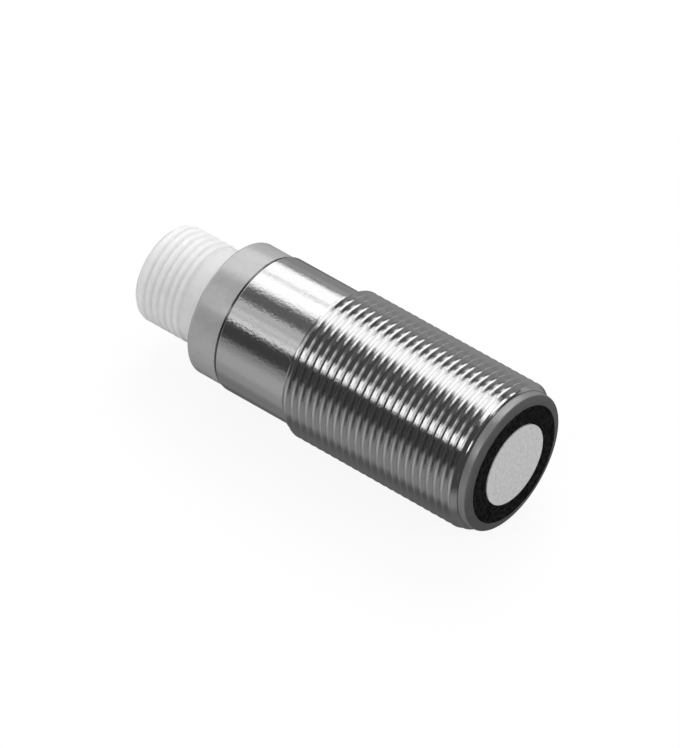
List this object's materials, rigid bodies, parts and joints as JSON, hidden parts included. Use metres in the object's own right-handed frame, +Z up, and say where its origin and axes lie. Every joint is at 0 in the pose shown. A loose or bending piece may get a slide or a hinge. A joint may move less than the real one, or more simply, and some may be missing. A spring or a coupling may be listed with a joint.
{
  "type": "ultrasonic sensor",
  "caption": "Cylindrical ultrasonic proximity sensor: threaded metal barrel, round sensing face in a foam ring, translucent shoulder and threaded plug connector.",
  "frame": {"origin": "centre of the sensing face, on the barrel's axis", "axes": "+X is the direction in which the sound leaves, the body reaches back along -X, +Z is up when the barrel lies level, and contact pin 1 is at the top"},
  "size_m": [0.0496, 0.018, 0.018],
  "materials": {
    "bubble_resin": "fine open speckle, dead matt",
    "piezo_ceramic": "fired, silvered faces",
    "damping_rubber": "soft, matt",
    "black_foam": "closed-cell foam, finely pitted",
    "lead_insulation": "smooth",
    "grey_plastic": "moulded, satin",
    "nickel_plated_brass": "bright nickel over turned brass",
    "translucent_grey_plastic": "translucent, satin",
    "milky_plastic": "translucent milky white, satin",
    "gold_plated_brass": "thin gold plating",
    "board_laminate": "solder mask over glass laminate",
    "indicator_lens": "clear moulded lens",
    "strip_film": "polyimide film",
    "ferrite": "ground ferrite",
    "copper_winding": "enamelled copper wire",
    "chip_moulding": "moulded epoxy",
    "capacitor_moulding": "moulded epoxy",
    "casting_resin": "cast, semi-gloss"
  },
  "bodies": {
    "root": {"amplifier_chip": "chip_moulding", "barrel": "nickel_plated_brass", "circuit_board": "board_laminate", "connector_shell": "milky_plastic", "contact_board": "board_laminate", "contact_pin_1": "gold_plated_brass", "contact_pin_2": "gold_plated_brass", "contact_pin_3": "gold_plated_brass", "contact_pin_4": "gold_plated_brass", "controller_chip": "chip_moulding", "damping_plug": "damping_rubber", "decoupling_foam": "black_foam", "front_ring": "grey_plastic", "indicator_led_1": "indicator_lens", "indicator_led_2": "indicator_lens", "indicator_led_3": "indicator_lens", "indicator_led_4": "indicator_lens", "light_ring": "translucent_grey_plastic", "link_strip": "strip_film", "matching_layer": "bubble_resin", "output_driver": "chip_moulding", "piezo_disc": "piezo_ceramic", "potting_resin": "casting_resin", "storage_capacitor": "capacitor_moulding", "suppressor_diode": "chip_moulding", "temperature_sensor": "chip_moulding", "transducer_lead_1": "lead_insulation", "transducer_lead_2": "lead_insulation", "transformer_coil": "copper_winding", "transformer_core": "ferrite", "voltage_regulator": "chip_moulding"}
  },
  "joints": []
}
